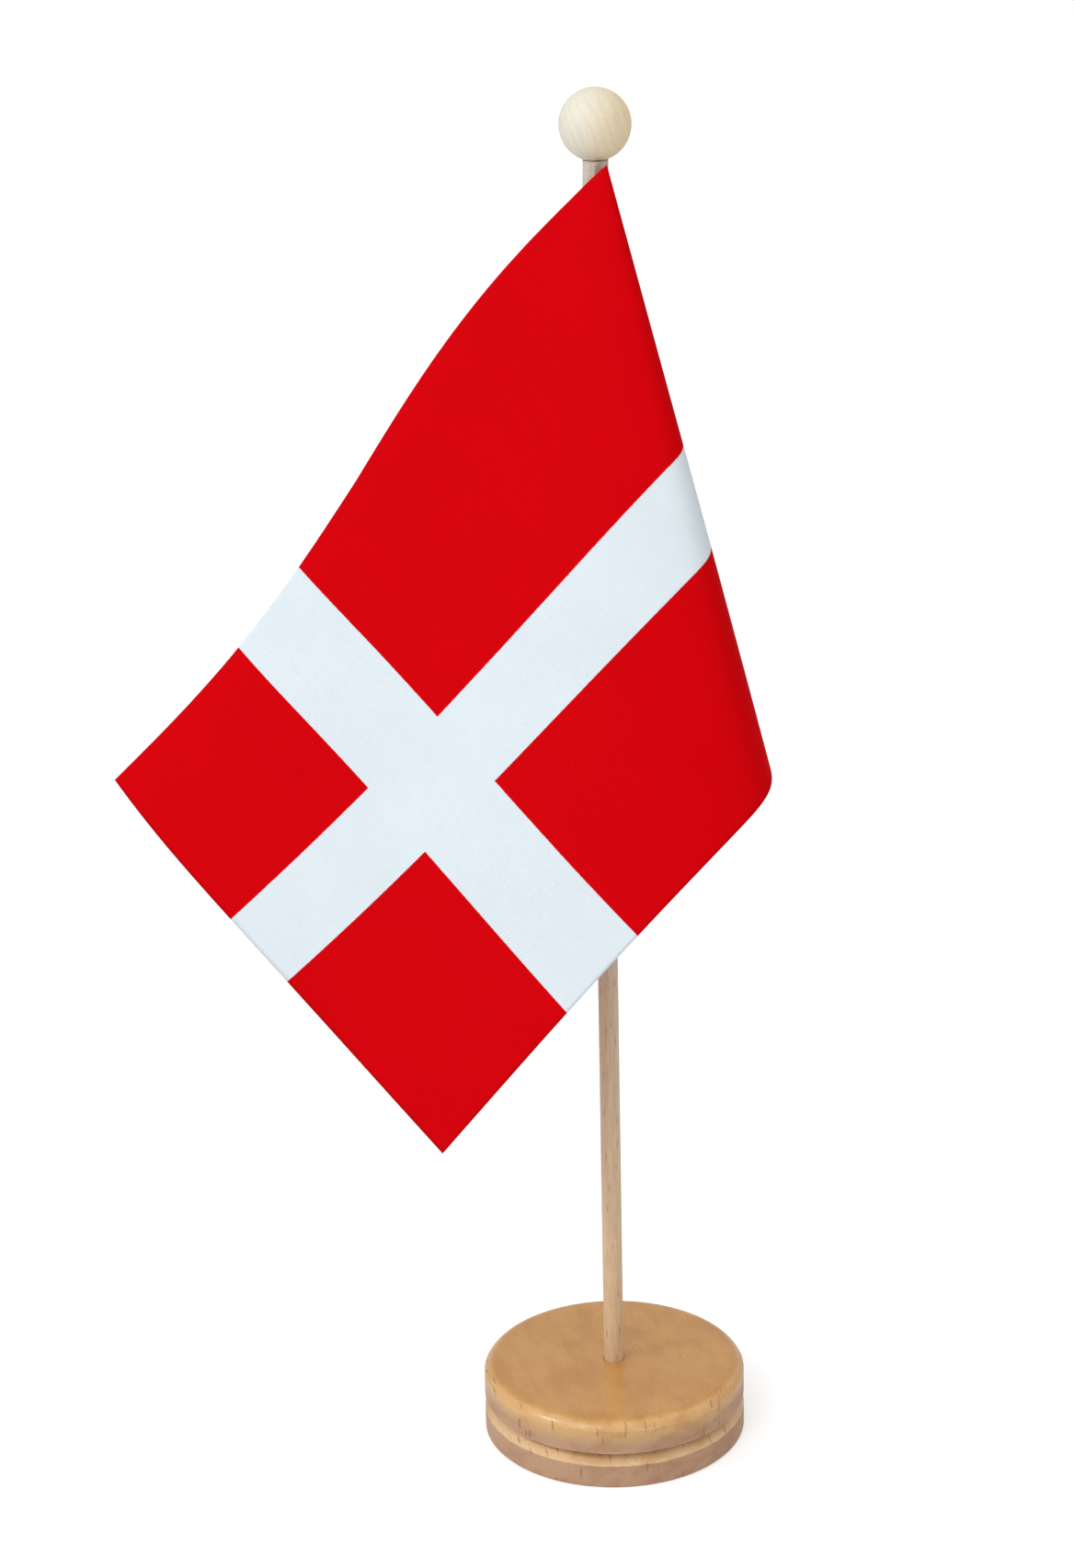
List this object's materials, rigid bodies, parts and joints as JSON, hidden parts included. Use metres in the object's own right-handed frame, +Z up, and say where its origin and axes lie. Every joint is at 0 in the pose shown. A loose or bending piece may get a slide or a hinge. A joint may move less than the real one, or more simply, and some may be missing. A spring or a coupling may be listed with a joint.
{
  "type": "desk flag stand",
  "caption": "Small tabletop flag on a slim wooden pole with a ball finial, standing in a round grooved wooden base; the pole lifts out and the flag turns round it",
  "frame": {"origin": "centre of the base's underside, on the axis of the pole", "axes": "+Z up along the pole, -Y the front that shows the face of the flag, the flag flies towards -X"},
  "size_m": [0.1911, 0.0986, 0.4096],
  "materials": {
    "base_wood": "clear gloss lacquer on beech",
    "dowel_wood": "thin satin lacquer on beech dowel",
    "ball_wood": "thin satin lacquer on pale turned hardwood",
    "sleeve_fabric": "cream woven hem tape",
    "flag_fabric": "knitted polyester, printed red with a white cross, soft satin sheen",
    "thread": "twisted polyester sewing thread"
  },
  "bodies": {
    "base": {"base": "base_wood"},
    "pole": {"pole": "dowel_wood", "ball_finial": "ball_wood"},
    "flag": {"hoist_sleeve": "sleeve_fabric", "flag_cloth": "flag_fabric", "sleeve_stitches": "thread"}
  },
  "joints": [
    {"name": "pole_lift", "type": "slide", "parent": "base", "child": "pole", "axis": [0, 0, 1], "range_m": [0, 0.018]},
    {"name": "flag_swivel", "type": "hinge", "parent": "pole", "child": "flag", "pos_m": [0, 0, 0.3], "axis": [0, 0, 1], "continuous": true}
  ]
}
